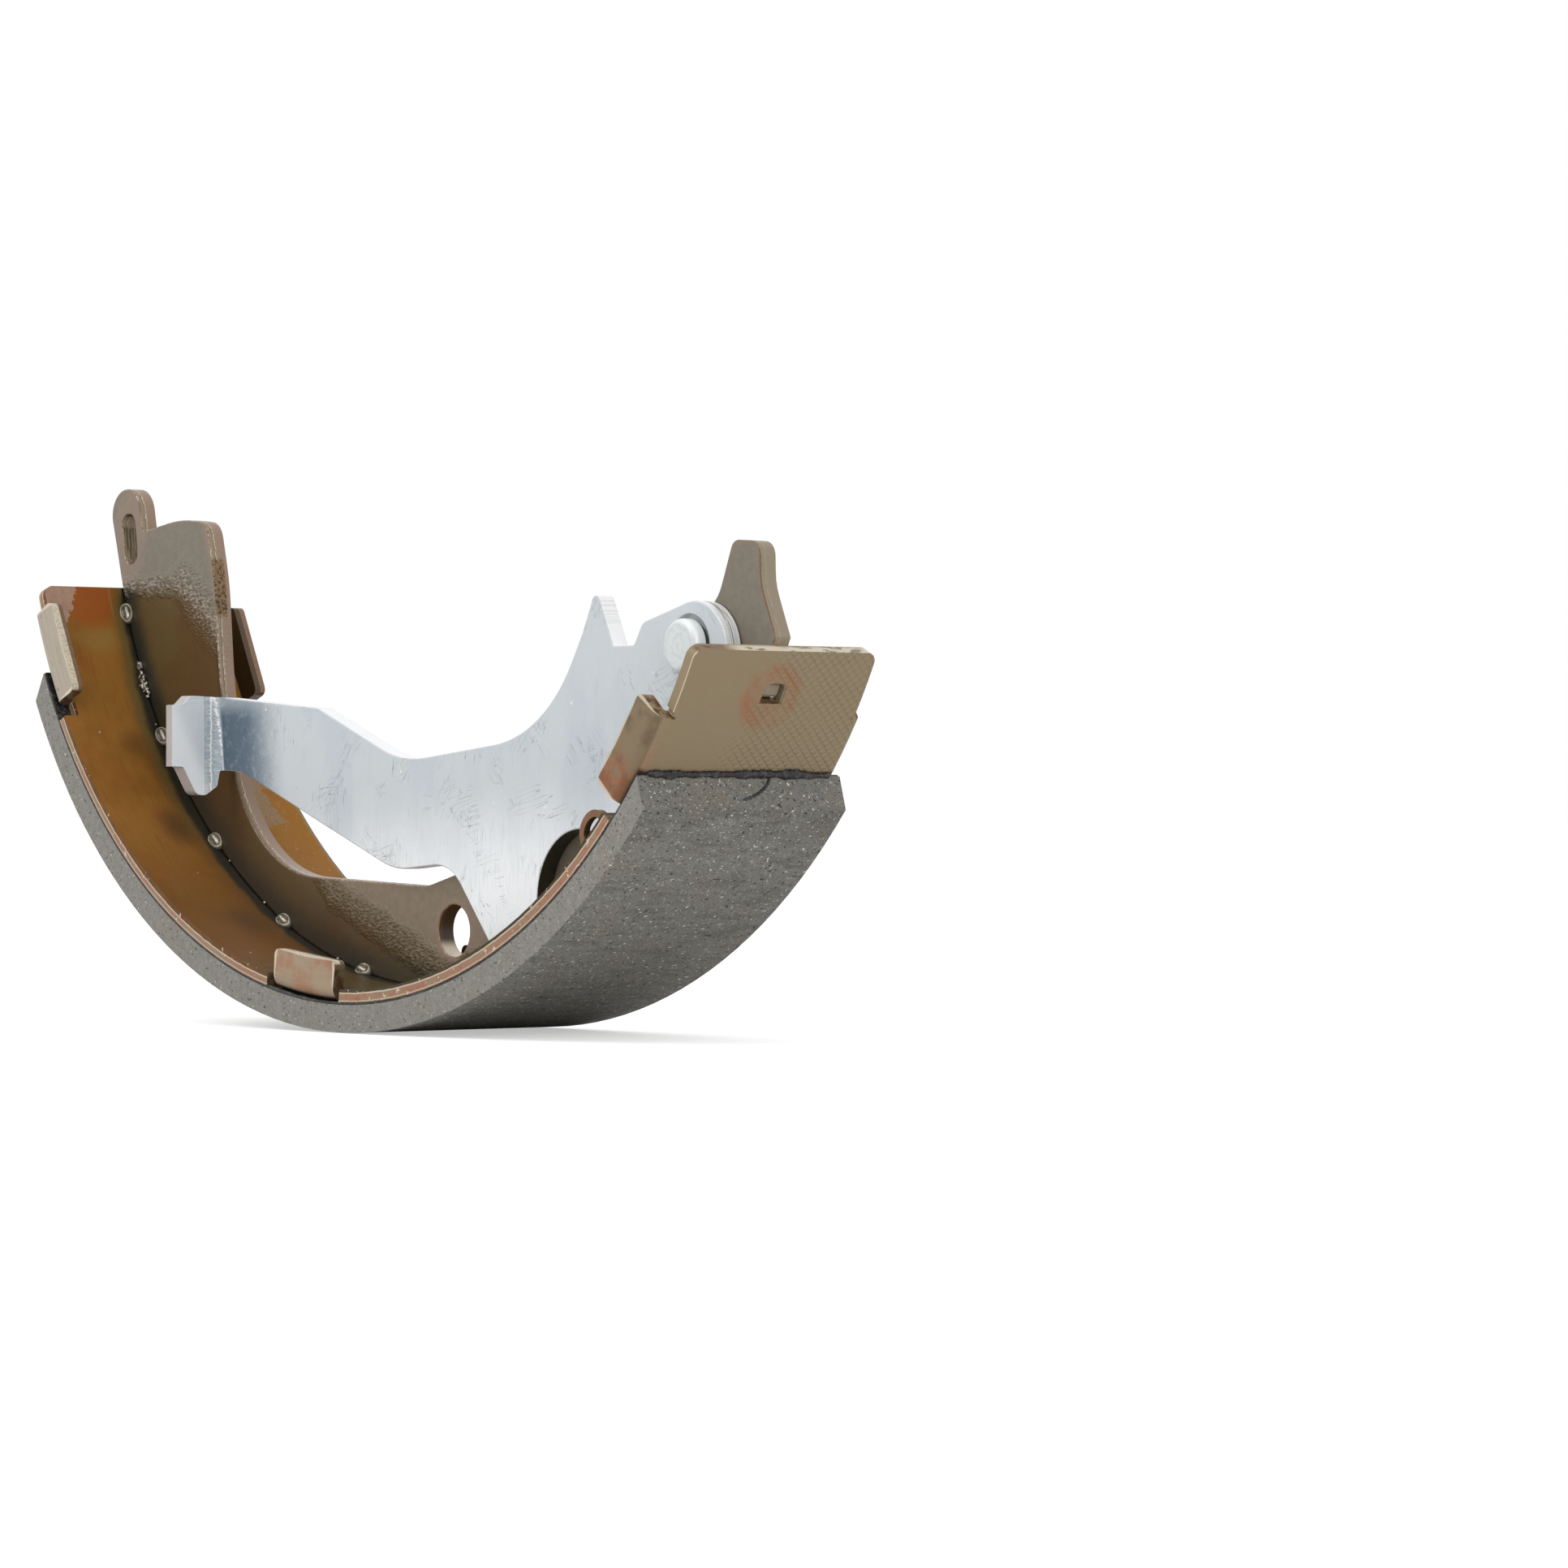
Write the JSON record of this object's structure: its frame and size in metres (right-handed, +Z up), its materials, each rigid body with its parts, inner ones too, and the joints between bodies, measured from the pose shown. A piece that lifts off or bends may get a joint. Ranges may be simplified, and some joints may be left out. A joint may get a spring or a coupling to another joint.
{
  "type": "drum brake shoe",
  "caption": "Curved drum-brake shoe with a bonded friction lining and a pivoting parking-brake lever on a headed pin.",
  "frame": {"origin": "centre of the bounding box in plan, on the floor that the lining rests on", "axes": "+X along the shoe from its slotted toe to the lever's pivot, +Y across the shoe from the lever side to the plain side, parallel to the drum axis, +Z up from the lining's lowest line towards the drum axis"},
  "size_m": [0.231, 0.05, 0.1151],
  "materials": {
    "shoe_steel": "thin amber-brown lacquer over steel, worn and lightly rusted",
    "lining": "matt grey moulded friction material with pale and dark specks",
    "bond": "black cured adhesive",
    "zinc_steel": "pale bluish zinc plating with fine scratches",
    "pin_steel": "matt silver, faintly turned",
    "weld_steel": "dull bare weld metal"
  },
  "bodies": {
    "shoe": {"shoe_rim": "shoe_steel", "shoe_web": "shoe_steel", "friction_lining": "lining", "bond_film": "bond", "pivot_pin": "pin_steel", "weld_beads_front": "weld_steel", "weld_beads_back": "weld_steel"},
    "lever": {"parking_lever": "zinc_steel"}
  },
  "joints": [
    {"name": "lever_pivot", "type": "hinge", "parent": "shoe", "child": "lever", "pos_m": [0.09284, 0, 0.07628], "axis": [0, 1, 0], "range_deg": [0, 30]}
  ]
}
